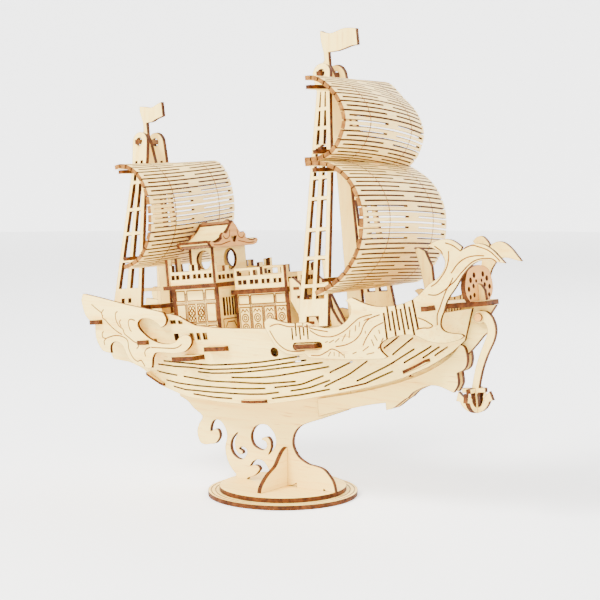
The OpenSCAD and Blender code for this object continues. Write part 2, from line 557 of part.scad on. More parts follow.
module fore_wall_front() color(birch2) ship() yz(fore_x[1] - ply) difference() {
    rect([-fore_half - 0.6, floor_z], [fore_half + 0.6, fore_top]);
    rect([-3.4, floor_z], [3.4, 79]);
}
module fore_wall_back() color(birch2) ship() yz(fore_x[0] - rail_ply, rail_ply) rect([-fore_half,
    floor_z], [fore_half, fore_top]);
module fore_gallery_floor() color(birch2) ship() xy(fore_top) rect([-10.4, -11.8], [fore_x[1], 11.8]);
fore_rail_foot = fore_top + ply;
module fore_side_rail() ship() xz(-11) difference() {
    union() {
        rect([-8.6, fore_rail_foot], [18, 91.8]);
        for (x = [-8.6, 4, 16.6]) rect([x, 91], [x + 1.4, 95]);
        rect([-8.6, 94], [5.4, 95.2]);
        rect([0, 91], [1.6, 95]);
    }
    pairs(-7.6, 5, 2, 89);
    pairs(5, 17.6, 2, 89);
}
module fore_side_rails() color(birch) pair() fore_side_rail();
module fore_rail_front() color(birch2) ship() yz(18, rail_ply) difference() {
    union() {
        rect([-11.4, fore_rail_foot], [11.4, 91.8]);
        for (s = [-1, 1]) translate([s * 10.5 - 0.9, 91]) square([1.8, 4.4]);
    }
    for (s = [0, 1]) mirror([s, 0]) pairs(1, 10.6, 2, 89);
    rect([-3.6, 88], [3.6, 92]);
}

// ---------------------------------------------------------------- pavilion on the aft cabin
pav_x = [-32.5, -18.5];
pav_half = 11.3;
pav_top = 105.4;
module pav_side() ship() xz(-pav_half, rail_ply) difference() {
    rect([pav_x[0] + rail_ply, rail_foot], [pav_x[1] - rail_ply, pav_top]);
    translate([-24.4, 99.9]) circle(r = 4.1);
}
module pavilion_side_walls() color(birch) pair() pav_side();
module pavilion_end_walls() color(birch2) ship() for (x = [pav_x[0],
    pav_x[1] - rail_ply]) yz(x, rail_ply) difference() {
    rect([-pav_half, rail_foot], [pav_half, pav_top]);
    translate([0, 99.6]) circle(r = 4.6);
}
roof_x = [-32.8, -17];
roof_line = [[0.8, 115.2], [4, 112.2], [8, 109.6], [12, 108], [15.4, 107.6], [16.8, 108.2]];
module roof_slope() ship() yz(roof_x[0], roof_x[1] - roof_x[0]) {
    line = run(roof_line);
    mirror([1, 0]) polygon(concat(line, drop(line, 1.2)));
}
module roof_slopes() color(birch) pair() roof_slope();
module eave() ship() xz(-15.4, 1) difference() {
    rect([roof_x[0], 104.9], [roof_x[1], 106.2]);
    for (i = [0 : 7]) translate([roof_x[0] + 1 + i * 2.1, 104.6]) circle(r = 0.7, $fn = 16);
}
module roof_eaves() color(burnt) pair() eave();
gable = [[0, 116], [2, 114.2], [4.2, 111.4], [5.4, 110.6], [7.2, 111.2], [8.6, 110], [8.6, 108.4],
    [11, 107.2],
    [14, 107], [16.4, 108], [17.2, 107], [16.2, 105.6], [13.6, 104.9], [11.5, 104.9]];
module gable_board(x0) ship() yz(x0, rail_ply) difference() {
    polygon(both(gable));
    polygon([[-2.1, 109.4], [2.1, 109.4], [0.6, 106.8], [-0.6, 106.8]]);
}
module roof_gables() color(birch2) for (x = [roof_x[0] - rail_ply, roof_x[1]]) gable_board(x);
module roof_ridge() color(burnt) ship() xz(-0.8, 1.6) polygon(
    [[roof_x[0], 112.6], [roof_x[1], 112.6], [roof_x[1], 116], [roof_x[1] - 1.4, 117],
        [roof_x[1] - 3, 116.2],
     [roof_x[0] + 3, 116.2], [roof_x[0] + 1.4, 117], [roof_x[0], 116]]);

// ---------------------------------------------------------------- stairs and mast knee
tread_n = 6;
function tread(i) = [mix(21.4, 29.4, i / (tread_n - 1)), mix(84.4, 66, i / (tread_n - 1))];
module stair_stringer() ship() difference() {
    xz(-fore_half) polygon([[fore_x[1], 89.4], [21.4, 89.4], [25, 86.4], [33.4, 69], [34, floor_z],
        [29, floor_z],
        [fore_x[1], 80]]);
    for (i = [0 : tread_n - 1]) box([tread(i)[0], -fore_half - 1, tread(i)[1]],
        [tread(i)[0] + 3, -5, tread(i)[1] + 1.2]);
}
module stair_stringers() color(birch) pair() stair_stringer();
module stair_treads() color(birch2) ship() for (i = [0 : tread_n - 1])
    box([tread(i)[0], -fore_half, tread(i)[1]], [tread(i)[0] + 3, fore_half, tread(i)[1] + 1.2]);

// ---------------------------------------------------------------- masts
main_line = concat([[43, deck_z], [43, floor_z], [42, floor_z], [42, 70], [41.9, 130]], [[41, 152],
    [39.4, 168], [38.4, 176]], [[40.4, 178.4], [40.3, 181.5]],
    run([[40.3, 181.5], [39.4, 186], [39.4, 190.4], [41.2, 189.8], [44.3, 189], [47, 189.3],
        [50.2, 190],
    [53.6, 189.9], [57, 189.2]]), run([[57.1, 182.4], [54, 182.4], [50.7, 181.8], [47.1, 181.3],
        [42.6, 181.4]]),
    [[42.6, 176]], [[44.6, 172]], [[47.2, 164]], [[48.2, 126]], [[48.9, 97]], [[49.2, 76]],
        [[52, 66]], [[53, floor_z]], [[47.6, floor_z]], [[47.6, deck_z]]);
main_peg = [41.8, 172.3];
main_low_peg = [43.9, 141];
module peg_slot(p) rect([p[0] - 1, p[1] - 1], [p[0] + 1, p[1] + 1]);
module main_mast_plate() color(birch2) ship() xz(-half) difference() {
    polygon(main_line);
    peg_slot(main_peg);
    peg_slot(main_low_peg);
}
module mast_knee() color(birch2) ship() xz(-half) polygon(
    [[30.9, 96], [33.3, 96], [32.8, 80], [33.6, 75], [36.4, 70], [40.4, 66], [41.9, floor_z],
        [34.2, floor_z], [31.4, 78]]);
mizzen_line = concat([[-59.8, poop_z], [-59.6, 87.6], [-72.6, 87.6], [-72.6, 89.2], [-59.5, 89.2],
    [-60.6, 130], [-62.2, 148], [-63, 156]],
    [[-61.4, 160.6], [-61.3, 163.9]], run([[-61.3, 163.9], [-62.4, 168], [-62.6, 171.4],
        [-59.6, 171.2], [-55.6, 170.4], [-52, 171.6], [-49.6, 172.2]]),
    run([[-49.4, 165.8], [-53.6, 164.9], [-56, 164], [-59.4, 163.9]]), [[-59.4, 158], [-58, 154],
        [-56.4, 146], [-54.6, 120], [-53.6, 98], [-54.4, 84], [-54.4, poop_z]]);
mizzen_peg = [-59.8, 155.3];
module mizzen_mast_plate() color(birch2) ship() xz(-half) difference() {
    polygon(mizzen_line);
    peg_slot(mizzen_peg);
}
module peg_bar(p, reach) ship() box([p[0] - 1, -reach, p[1] - 1], [p[0] + 1, reach, p[1] + 1]);
module mast_pegs() color(burnt) {
    peg_bar(main_peg, 8.4);
    peg_bar(main_low_peg, 14.6);
    peg_bar(mizzen_peg, 8.2);
}
module mizzen_step() color(birch2) ship() difference() {
    xy(79.8) rect([-66, -9.5], [-52.8, 9.5]);
    xz(-half) polygon(mizzen_line);
}

// ---------------------------------------------------------------- shrouds (leaning ladders)
// [foot breadth, foot height, head breadth, peg, rear edge, front edge, head centre, head radius, rung heights]
main_shroud = [26, 69.6, 5.6, main_peg, [[0, 34.2], [11.5, 34.9], [97, 40]], [[0, 48.9],
    [11.5, 48.8], [62.7, 48.4], [97, 46.4]],
    [42, 104.7], 4.3, [10.4, 16.6, 28, 39.6, 52.4, 61, 74, 81.6, 89.6, 97.6], main_low_peg];
mizzen_shroud = [16.3, poop_z, 5.6, mizzen_peg, [[0, -76], [9.7, -74.6], [68.7, -63.9]], [[0, -58.6],
    [9.7, -58.4], [59, -56.4], [74, -55.4]],
    [-59.4, 81.1], 4.2, [14.2, 27.4, 39.6, 50.4, 62.6, 73], undef];
function lean_of(s) = atan((s[0] - s[2]) / (s[3][1] - s[1]));
module lean(s) translate([0, -s[0], s[1]]) rotate([-lean_of(s), 0, 0]) children();
function edge_pts(e) = [for (p = e) [p[1], p[0]]];
module shroud_outline(s) {
    polygon(concat(edge_pts(s[4]), [for (a = [180 : -15 : 0]) s[6] + s[7] * [cos(a), sin(a)]],
        [for (i = [len(s[5]) - 1 : -1 : 0]) [s[5][i][1], s[5][i][0]]]));
}
module shroud_blank(s, grow) lean(s) xz(-half - grow, ply + 2 * grow) shroud_outline(s);
rail_w = 1.9;
module shroud(s) ship() lean(s) xz(-half) difference() {
    shroud_outline(s);
    for (k = [0 : len(s[8]) - 2]) for (c = [0, 1]) {
        h0 = s[8][k] + 0.75;
        h1 = s[8][k + 1] - 0.75;
        polygon([for (q = [[h0, 0], [h0, 1], [h1, 1], [h1, 0]])
            let (r = lookup(q[0], s[4]), f = lookup(q[0], s[5]), w = (f - r - 3 * rail_w) / 2)
            [r + rail_w + c * (w + rail_w) + q[1] * w, q[0]]]);
    }
    // peg holes, round so that the leaning plate can slip over its square peg
    translate([s[3][0], (s[3][1] - s[1]) / cos(lean_of(s))]) circle(r = 1.8);
    if (s[9] != undef) translate([s[9][0], (s[9][1] - s[1]) / cos(lean_of(s))]) circle(r = 1.8);
    children();
}
module main_feet() {
    rect([38.4, -1], [44.6, 4.2]);
    rect([30, -1], [34.8, 4.2]);
}
module mizzen_feet() {
    for (x = [-70, -66]) rect([x, 8.4], [x + 1.8, 10.4]);
}
module main_shrouds() color(birch) pair() shroud(main_shroud) main_feet();
module mizzen_shrouds() color(birch) pair() shroud(mizzen_shroud) mizzen_feet();

// ---------------------------------------------------------------- yards and sails
// crescent plate: [underside, rear edge, front at the middle, front at the tips, half width, tongue start]
module yard(v, line) ship() difference() {
    xy(v[0], 1.6) union() {
        front = run([[v[3], v[4]], [mix(v[3], v[2], 0.55), v[4] * 0.66], [mix(v[3], v[2],
            0.88), v[4] * 0.33], [v[2], 0]]);
        polygon(concat([[v[1], 0]], [[v[1], v[4] * 0.4]], [[mix(v[1], v[3], 0.3), v[4]]], front));
        mirror([0, 1]) polygon(concat([[v[1], 0]], [[v[1], v[4] * 0.4]], [[mix(v[1], v[3],
            0.3), v[4]]], front));
        rect([v[5], -3.4], [v[1] + 0.2, 3.4]);
    }
    xz(-half) polygon(line);
}
module main_yards() color(birch2) {
    yard([164.2, 48.4, 55.6, 50.6, 28.6, 44.6], main_line);
    yard([138.4, 49.2, 56.6, 51.4, 28.6, 46], main_line);
    yard([131.2, 49.6, 57.8, 52, 30.6, 46], main_line);
    yard([87.4, 49.9, 56.2, 51.6, 30.6, 46.6], main_line);
}
module mizzen_yards() color(birch2) {
    yard([140.4, -55, -48.2, -52, 28.4, -59], mizzen_line);
    yard([102.4, -56.4, -49.6, -53.4, 28.4, -57.4], mizzen_line);
}

upper_profile = [[49.6, 168.6], [54, 168.2], [58.4, 166.5], [62.9, 163.5], [67, 159.1],
    [69.3, 154.3], [69.8, 149.6], [67.9, 144.9],
    [65.1, 141.1], [60.3, 137.9], [53.8, 136.5], [46.2, 136.6]];
lower_profile = [[48, 134.6], [53.6, 134.6], [59.7, 133.5], [65.6, 130.8], [70.6, 126.5],
    [74, 121.1], [75.8, 115.1], [75.7, 109],
    [73.9, 102], [69.9, 95.6], [63.6, 89.9], [56.5, 86], [47.8, 83.2]];
mizzen_profile = [[-55, 143.3], [-51, 143.7], [-46.8, 142.8], [-41.1, 139.6], [-37.1, 134.5],
    [-34.9, 128.1], [-34.4, 121.2],
    [-35.6, 114.2], [-38.6, 108.2], [-43.6, 103.3], [-48.6, 101], [-54.6, 99.6]];
function unit(v) = v / norm(v);
function normal(p, i) = let (t = unit(at(p, i + 1) - at(p, i - 1))) [t[1], -t[0]];
function band(p, t) = concat([for (i = [0 : len(p) - 1]) p[i] + normal(p, i) * t / 2],
    [for (i = [len(p) - 1 : -1 : 0]) p[i] - normal(p, i) * t / 2]);
function along(p, n = 0) = n == 0 ? 0 : along(p, n - 1) + norm(p[n] - p[n - 1]);
// the tongue that hooks a sail end over its mast
module tongue(end, mast_x) box([min(mast_x, end[0]), -3, end[1] - sail_ply / 2],
    [end[0] + 0.6, 3, end[1] + sail_ply / 2]);
first_slit = 3.6;                // length of plain sheet at each end of a sail
module sail(profile, w, rows) {
    p = run(profile);
    s = [for (i = [0 : len(p) - 1]) along(p, i)];
    total = s[len(s) - 1];
    sx = [for (i = [0 : len(p) - 1]) [s[i], p[i][0]]];
    sz = [for (i = [0 : len(p) - 1]) [s[i], p[i][1]]];
    difference() {
        xz(-w, 2 * w) polygon(band(p, sail_ply));
        for (r = [1 : rows]) {
            u = first_slit + (total - 2 * first_slit) * (r - 1) / (rows - 1);
            c = [lookup(u, sx), lookup(u, sz)];
            d = [lookup(u + 0.5, sx), lookup(u + 0.5, sz)] - [lookup(u - 0.5, sx), lookup(u - 0.5, sz)];
            a = atan2(d[1], d[0]);
            translate([c[0], 0, c[1]]) rotate([0, -a, 0])
                if (r % 2 == 0) box([-slit / 2, -w + 2.2, -1.4], [slit / 2, w - 2.2, 1.4]);
                else for (k = [-1, 1]) translate([-slit / 2, k > 0 ? w * 0.12 : -w - 1, -1.4])
                    cube([slit, w * 0.88 + 1, 2.8]);
        }
    }
}
module main_upper_sail() color(birch) ship() difference() {
    union() {
        sail(upper_profile, upper_sail_half, upper_rows);
        tongue(upper_profile[0], 44.6);
    }
    rig_clearance(main_shroud, main_line);
}
module main_lower_sail() color(birch) ship() difference() {
    sail(lower_profile, lower_sail_half, lower_rows);
    rig_clearance(main_shroud, main_line);
}
module mizzen_sail() color(birch) ship() difference() {
    union() {
        sail(mizzen_profile, mizzen_sail_half, mizzen_rows);
        tongue(mizzen_profile[0], -57.6);
    }
    rig_clearance(mizzen_shroud, mizzen_line);
}
// room for the leaning shrouds and the upright mast where a sail crosses them
module rig_clearance(s, line) {
    shroud_blank(s, 0.3);
    port() shroud_blank(s, 0.3);
    xz(-half - 0.1, ply + 0.2) polygon(line);
}

// ---------------------------------------------------------------- anchor
pivot = [104.65, 69];              // above the hanging anchor's centre of mass
anchor_y = -half - 0.3 - ply;
anchor_c = [99.6, 38.2];
module hanger_shape() {
    difference() {
        union() {
            translate(pivot) circle(r = 2.6);
            polygon(concat(run([[105.4, 71.5], [108, 71], [110.4, 68.4], [111.4, 64], [110.2, 59.6],
                [107.4, 55], [104.6, 49.4],
                [102.6, 43.6], [101.4, 39]]), run([[98.2, 38], [99.4, 43], [101.4, 49.4],
                    [104.2, 55.6], [106.6, 60.2], [107.9, 63.4],
                [107.2, 66.4], [105.4, 67]])));
        }
        translate(pivot) circle(r = peg_r + pivot_gap);
    }
}
// anchor outline: arms as half a ring with pointed flukes, a shank and a stock
arm_half = concat([for (a = [270 : 14 : 340]) 7 * [cos(a), sin(a)]], [[8.2, -2], [6.9, 1.6],
    [4.3, -1.1]],
    [for (a = [338 : -12.5 : 288]) 4.9 * [cos(a), sin(a)]], [[1.5, 1.2], [5.2, 1.2], [5.2, 3]]);
module fluke_plate() linear_extrude(ply) polygon(both(arm_half));
module anchor_hanger() color(birch) ship() difference() {
    union() {
        xz(anchor_y) hanger_shape();
        translate([anchor_c[0], anchor_y + ply, anchor_c[1]]) rotate([90, 0, 0]) fluke_plate();
    }
    box([anchor_c[0] - half, anchor_y - 1, 28], [anchor_c[0] + half, anchor_y + ply + 1, 35]);
}
module anchor_cross() color(birch) ship() difference() {
    translate([anchor_c[0] - half, anchor_y + half, anchor_c[1]]) rotate([90, 0, 90]) fluke_plate();
    box([anchor_c[0] - 3, anchor_y, 35], [anchor_c[0] + 3, anchor_y + ply, 45]);
}
module anchor_peg() color(burnt) ship() translate([pivot[0], 0, pivot[1]]) rotate([90, 0, 0]) {
    translate([0, 0, -2.4]) cylinder(r = peg_r, h = 2.4 + half + 0.3 + ply + 1.2);
    translate([0, 0, half + 0.3 + ply + 0.3]) cylinder(r = peg_r + 0.7, h = 0.9);
}

/* [Nodes] */
// Sub-part to build, or all

base_lower_disc();
base_upper_disc();
stand_cross_plate();
keel_stand_board();
keel_bow_board();
bow_wave_plates();
bottom_sheet();
main_deck();
hull_frames();
hull_side_starboard();
hull_side_port();
channel_beam();
stern_beam();
poop_deck();
transom();
stern_wave_starboard();
stern_wave_port();
bow_wing_starboard();
bow_wing_port();
fore_deck();
figurehead_panel();
figurehead_rib();
foredeck_post();
aft_side_walls();
aft_wall_front();
aft_wall_back();
aft_gallery_floor();
aft_side_rails();
aft_rail_front();
aft_rail_back();
fore_side_walls();
fore_wall_front();
fore_wall_back();
fore_gallery_floor();
fore_side_rails();
fore_rail_front();
pavilion_side_walls();
pavilion_end_walls();
roof_slopes();
roof_eaves();
roof_gables();
roof_ridge();
stair_stringers();
stair_treads();
mast_knee();
main_mast_plate();
mizzen_mast_plate();
mast_pegs();
mizzen_step();
main_shrouds();
mizzen_shrouds();
main_yards();
mizzen_yards();
main_upper_sail();
main_lower_sail();
mizzen_sail();
anchor_hanger();
anchor_cross();
anchor_peg();
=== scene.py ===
"""A laser-cut plywood sailing ship on a disc stand: materials, engraving, light and camera."""

import math

import bpy
import numpy as np
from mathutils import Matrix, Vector
from mathutils.bvhtree import BVHTree

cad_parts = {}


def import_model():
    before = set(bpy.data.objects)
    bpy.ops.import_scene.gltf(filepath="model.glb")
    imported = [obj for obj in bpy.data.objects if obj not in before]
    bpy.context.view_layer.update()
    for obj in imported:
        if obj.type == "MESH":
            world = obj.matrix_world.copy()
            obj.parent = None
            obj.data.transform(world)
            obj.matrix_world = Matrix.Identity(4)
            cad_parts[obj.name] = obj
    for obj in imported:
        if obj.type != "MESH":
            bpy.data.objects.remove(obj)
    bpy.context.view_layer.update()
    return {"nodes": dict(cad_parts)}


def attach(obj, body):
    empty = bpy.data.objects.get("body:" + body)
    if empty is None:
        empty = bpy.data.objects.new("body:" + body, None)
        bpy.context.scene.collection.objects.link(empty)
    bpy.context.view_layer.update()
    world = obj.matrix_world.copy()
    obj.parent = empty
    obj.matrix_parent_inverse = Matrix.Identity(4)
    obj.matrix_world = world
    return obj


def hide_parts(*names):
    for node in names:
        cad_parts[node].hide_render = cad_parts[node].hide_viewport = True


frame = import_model()
NODES = frame["nodes"]

MM = 0.001
TRIM = math.radians(5.8)  # the ship sits bow-up on its stand by this much
SHIP_Z = 4.0  # the top of the stand's upper disc
BURN_REACH = 0.5 * MM  # reach of the scorched tone along every cut
LIFT = 0.04 * MM  # how far an engraved line stands off its plate
LINE_W = 0.5  # width of an engraved line, millimetres
FINE_W = 0.42  # width of the finest engraved dashes
SIDE_RAIL = 2.2  # uncut sheet along each side of a sail
CENTRE_BRIDGE = 0.12  # half width of a sail's centre bridge, as a share of its half width
PLAIN_END = 3.6  # uncut sheet at the head and the foot of a sail
SAIL_LINE = 0.52  # where the sails' upright lines run, as a share of the half width


# ---------------------------------------------------------------- frames of reference
def world(x, y, z):
    """A point given along the ship in millimetres, in the row frame in metres."""
    return MM * Vector(
        (
            x * math.cos(TRIM) - z * math.sin(TRIM),
            y,
            x * math.sin(TRIM) + z * math.cos(TRIM) + SHIP_Z,
        )
    )


# ---------------------------------------------------------------- materials
def new_material(name):
    """An empty node material with its Principled shader."""
    material = bpy.data.materials.new(name)
    material.use_nodes = True
    tree = material.node_tree
    return material, tree, tree.nodes["Principled BSDF"]


def add(tree, kind, **values):
    """A node with its inputs set by name."""
    node = tree.nodes.new(kind)
    for key, value in values.items():
        if key in node.inputs:
            node.inputs[key].default_value = value
        else:
            setattr(node, key, value)
    return node


def ramp(tree, source, stops):
    """A colour ramp fed by source, with (position, colour) stops."""
    node = tree.nodes.new("ShaderNodeValToRGB")
    bar = node.color_ramp
    while len(bar.elements) < len(stops):
        bar.elements.new(0.5)
    for element, (position, colour) in zip(bar.elements, stops):
        element.position = position
        element.color = (*colour, 1)
    tree.links.new(source, node.inputs["Fac"])
    return node


def noise(tree, stretch, scale=1.0, detail=4.0, roughness=0.55):
    """Noise in the object's own metres, stretched by a scale along each axis."""
    place = tree.nodes.new("ShaderNodeTexCoord")
    mapping = add(tree, "ShaderNodeMapping")
    mapping.inputs["Scale"].default_value = stretch
    tree.links.new(place.outputs["Object"], mapping.inputs["Vector"])
    node = add(tree, "ShaderNodeTexNoise", Scale=scale, Detail=detail, Roughness=roughness)
    tree.links.new(mapping.outputs["Vector"], node.inputs["Vector"])
    return node


def multiply(tree, share, a, b):
    """Colour a darkened by colour b, by a share from 0 to 1."""
    node = tree.nodes.new("ShaderNodeMix")
    node.data_type = "RGBA"
    node.blend_type = "MULTIPLY"
    node.inputs["Factor"].default_value = share
    tree.links.new(a, node.inputs[6])
    tree.links.new(b, node.inputs[7])
    return node.outputs[2]


def bump(tree, shader, source, strength, distance):
    """Relief on the shader, from source."""
    node = add(tree, "ShaderNodeBump", Strength=strength, Distance=distance)
    tree.links.new(source, node.inputs["Height"])
    tree.links.new(node.outputs["Normal"], shader.inputs["Normal"])


def scorch(tree, colour, reach, burn):
    """Darkens a colour close to any sharp edge, as a laser does along its cut."""
    probe = tree.nodes.new("ShaderNodeBevel")
    probe.samples = 8
    probe.inputs["Radius"].default_value = reach
    geometry = tree.nodes.new("ShaderNodeNewGeometry")
    dot = tree.nodes.new("ShaderNodeVectorMath")
    dot.operation = "DOT_PRODUCT"
    tree.links.new(probe.outputs["Normal"], dot.inputs[0])
    tree.links.new(geometry.outputs["Normal"], dot.inputs[1])
    mask = ramp(tree, dot.outputs["Value"], [(0.86, burn), (0.985, (1, 1, 1))])
    return multiply(tree, 1.0, colour, mask.outputs["Color"])


def birch(name, pale, mid, dark, grain):
    """Bare birch ply: long fine grain, broad tone patches and faint fibre relief."""
    material, tree, shader = new_material(name)
    fine = noise(tree, grain, detail=6.0, roughness=0.6)
    broad = noise(tree, tuple(g * 0.12 for g in grain), detail=2.0)
    flecks = noise(tree, tuple(g * 2.4 for g in grain), detail=2.0, roughness=0.4)
    bright = tuple(min(1, c * 1.03) for c in pale)
    body = ramp(tree, fine.outputs["Fac"], [(0.3, mid), (0.5, pale), (0.75, bright)])
    shade = ramp(tree, broad.outputs["Fac"], [(0.35, (0.9, 0.87, 0.8)), (0.6, (1, 1, 1))])
    toned = multiply(tree, 1.0, body.outputs["Color"], shade.outputs["Color"])
    fleck = ramp(tree, flecks.outputs["Fac"], [(0.26, dark), (0.34, (1, 1, 1))])
    flecked = multiply(tree, 0.5, toned, fleck.outputs["Color"])
    final = scorch(tree, flecked, BURN_REACH, (0.24, 0.1, 0.03))
    tree.links.new(final, shader.inputs["Base Color"])
    rough = ramp(tree, fine.outputs["Fac"], [(0.2, (0.66, 0.66, 0.66)), (0.8, (0.5, 0.5, 0.5))])
    tree.links.new(rough.outputs["Color"], shader.inputs["Roughness"])
    bump(tree, shader, fine.outputs["Fac"], 0.25, 0.0002)
    return material


def burnt(name, light, dark, stripes=900.0):
    """A laser-cut edge: dark brown, with the plies' paler bands and soot patches."""
    material, tree, shader = new_material(name)
    plies = noise(tree, (stripes, stripes, stripes), scale=0.6, detail=3.0)
    soot = noise(tree, (220, 220, 220), detail=3.0)
    tone = ramp(tree, plies.outputs["Fac"], [(0.3, dark), (0.7, light)])
    patch = ramp(tree, soot.outputs["Fac"], [(0.3, (0.6, 0.52, 0.45)), (0.65, (1, 1, 1))])
    stained = multiply(tree, 1.0, tone.outputs["Color"], patch.outputs["Color"])
    tree.links.new(stained, shader.inputs["Base Color"])
    shader.inputs["Specular IOR Level"].default_value = 0.15
    rough = ramp(tree, soot.outputs["Fac"], [(0.3, (0.8, 0.8, 0.8)), (0.7, (0.6, 0.6, 0.6))])
    tree.links.new(rough.outputs["Color"], shader.inputs["Roughness"])
    bump(tree, shader, plies.outputs["Fac"], 0.35, 0.0002)
    return material


ALONG = (38, 620, 620)
ACROSS = (620, 38, 620)
UPRIGHT = (620, 620, 38)
PALE, MID, DARK = (1.0, 0.73, 0.2), (0.95, 0.61, 0.12), (0.62, 0.3, 0.04)
FACE_ALONG = birch("birch_along", PALE, MID, DARK, ALONG)
FACE_ACROSS = birch("birch_across", PALE, MID, DARK, ACROSS)
FACE_UPRIGHT = birch("birch_upright", PALE, MID, DARK, UPRIGHT)
SAIL = birch("birch_sail", (0.97, 0.7, 0.23), (0.88, 0.57, 0.15), (0.6, 0.3, 0.06), ACROSS)
TAN = birch("birch_tan", (0.66, 0.3, 0.04), (0.52, 0.2, 0.022), (0.3, 0.1, 0.01), ACROSS)
BROWN = birch("birch_brown", (0.2, 0.075, 0.012), (0.14, 0.045, 0.007), (0.08, 0.022, 0.004), ACROSS)
EDGE = burnt("cut_edge", (0.15, 0.042, 0.004), (0.035, 0.009, 0.001))
SAIL_END = burnt("sail_end", (0.36, 0.16, 0.025), (0.14, 0.045, 0.006))
ENGRAVED = burnt("engraved_line", (0.26, 0.08, 0.006), (0.13, 0.036, 0.003), 500.0)

UPRIGHT_GRAIN = {
    "main_mast_plate", "mizzen_mast_plate", "main_shrouds", "mizzen_shrouds", "mast_knee",
    "foredeck_post", "anchor_hanger", "figurehead_rib", "stair_stringers",
}
ACROSS_GRAIN = {
    "stand_cross_plate", "channel_beam", "stern_beam", "transom", "aft_wall_front",
    "aft_wall_back", "aft_rail_front", "aft_rail_back", "fore_wall_front", "fore_wall_back",
    "fore_rail_front", "stair_treads", "main_yards", "mizzen_yards", "mast_pegs", "hull_frames",
    "anchor_cross", "anchor_peg", "mizzen_step", "pavilion_end_walls", "roof_gables",
}
TAN_NODES = {"figurehead_panel", "roof_gables", "anchor_peg"}
BROWN_NODES = {"roof_eaves", "roof_ridge", "mast_pegs"}
SAILS = ("main_upper_sail", "main_lower_sail", "mizzen_sail")
# bent sheets and their thickness in millimetres
BENT = {"roof_slopes": 1.2, **{node: 1.6 for node in SAILS}}


def face_material(node):
    """The bare wood that a plate's two faces show."""
    if node in SAILS:
        return SAIL
    if node in TAN_NODES:
        return TAN
    if node in BROWN_NODES:
        return BROWN
    if node in UPRIGHT_GRAIN:
        return FACE_UPRIGHT
    if node in ACROSS_GRAIN:
        return FACE_ACROSS
    return FACE_ALONG


# ---------------------------------------------------------------- faces and cut edges
def islands(mesh):
    """The separate solids of a mesh, as lists of polygon indices."""
    parent = list(range(len(mesh.vertices)))

    def find(i):
        while parent[i] != i:
            parent[i] = parent[parent[i]]
            i = parent[i]
        return i

    place = {}
    for v in mesh.vertices:
        key = tuple(round(c, 6) for c in v.co)
        if key in place:
            parent[find(v.index)] = find(place[key])
        else:
            place[key] = v.index
    for p in mesh.polygons:
        first = find(p.vertices[0])
        for v in p.vertices[1:]:
            parent[find(v)] = first
    groups = {}
    for p in mesh.polygons:
        groups.setdefault(find(p.vertices[0]), []).append(p.index)
    return list(groups.values())


def flat_faces(mesh):
    """The polygons on a flat plate's two large faces, solid by solid."""
    found = set()
    for group in islands(mesh):
        totals = {}
        for i in group:
            n = mesh.polygons[i].normal
            n = n if (n.x, n.y, n.z) > (-n.x, -n.y, -n.z) else -n
            key = tuple(round(c, 1) for c in n)
            totals[key] = totals.get(key, 0) + mesh.polygons[i].area
        main = Vector(max(totals, key=totals.get)).normalized()
        found.update(i for i in group if abs(mesh.polygons[i].normal.dot(main)) > 0.97)
    return found


def bent_faces(mesh, thickness):
    """The polygons of a bent sheet that have its other face one thickness behind them."""
    tree = BVHTree.FromPolygons([v.co for v in mesh.vertices], [p.vertices for p in mesh.polygons])
    found = set()
    for p in mesh.polygons:
        n = p.normal
        back = tree.ray_cast(p.center - n * 1e-6, -n, thickness * 1.35 * MM)
        if back[0] is not None and back[3] > thickness * 0.5 * MM and abs(back[1].dot(n)) > 0.9:
            found.add(p.index)
    return found


def finish_plate(node, obj):
    """Gives a plate its bare faces and its burnt cut edges."""
    mesh = obj.data
    if node.startswith(("hull_side", "bow_wing")):
        faces = {p.index for p in mesh.polygons if abs(p.normal.y) > 0.3}
    elif node == "bottom_sheet":
        faces = {p.index for p in mesh.polygons if abs(p.normal.z) > 0.5}
    elif node in BENT:
        faces = bent_faces(mesh, BENT[node])
    else:
        faces = flat_faces(mesh)
    mesh.materials.clear()
    for material in (face_material(node), EDGE):
        mesh.materials.append(material)
    for p in mesh.polygons:
        p.material_index = 0 if p.index in faces else 1
        p.use_smooth = False


for name, obj in NODES.items():
    finish_plate(name, obj)


# ---------------------------------------------------------------- engraving
def smooth(points, step=0.7):
    """Points along a Catmull-Rom curve through the given ones, about step apart."""
    if len(points) < 3:
        n = max(2, int(math.dist(*points) / step) + 1)
        return [tuple(a + (b - a) * i / (n - 1) for a, b in zip(*points)) for i in range(n)]
    out = []
    for i in range(len(points) - 1):
        p0, p1 = points[max(0, i - 1)], points[i]
        p2, p3 = points[i + 1], points[min(len(points) - 1, i + 2)]
        n = max(2, int(math.dist(p1, p2) / step) + 1)
        for k in range(n):
            u = k / n
            out.append(tuple(
                0.5 * (2 * b + (c - a) * u + (2 * a - 5 * b + 4 * c - d) * u * u
                       + (3 * b - a - 3 * c + d) * u ** 3)
                for a, b, c, d in zip(p0, p1, p2, p3)
            ))
    out.append(tuple(points[-1]))
    return out


def surface(nodes):
    """A ray-cast tree of the named nodes together."""
    verts, polys = [], []
    for node in nodes:
        mesh = NODES[node].data
        base = len(verts)
        verts += [v.co.copy() for v in mesh.vertices]
        polys += [tuple(base + i for i in p.vertices) for p in mesh.polygons]
    return BVHTree.FromPolygons(verts, polys)


def ribbon(verts, faces, hits, width):
    """Adds one run of thin quads along surface hits [(point, normal)]."""
    base = None
    for i, (point, normal) in enumerate(hits):
        ahead = hits[min(i + 1, len(hits) - 1)][0] - hits[max(i - 1, 0)][0]
        if ahead.length < 1e-7:
            continue
        side = ahead.cross(normal).normalized() * (width / 2)
        lift = normal * LIFT
        verts.extend([point + side + lift, point - side + lift])
        here = len(verts) - 2
        if base is not None:
            faces.append((base, base + 1, here + 1, here))
        base = here


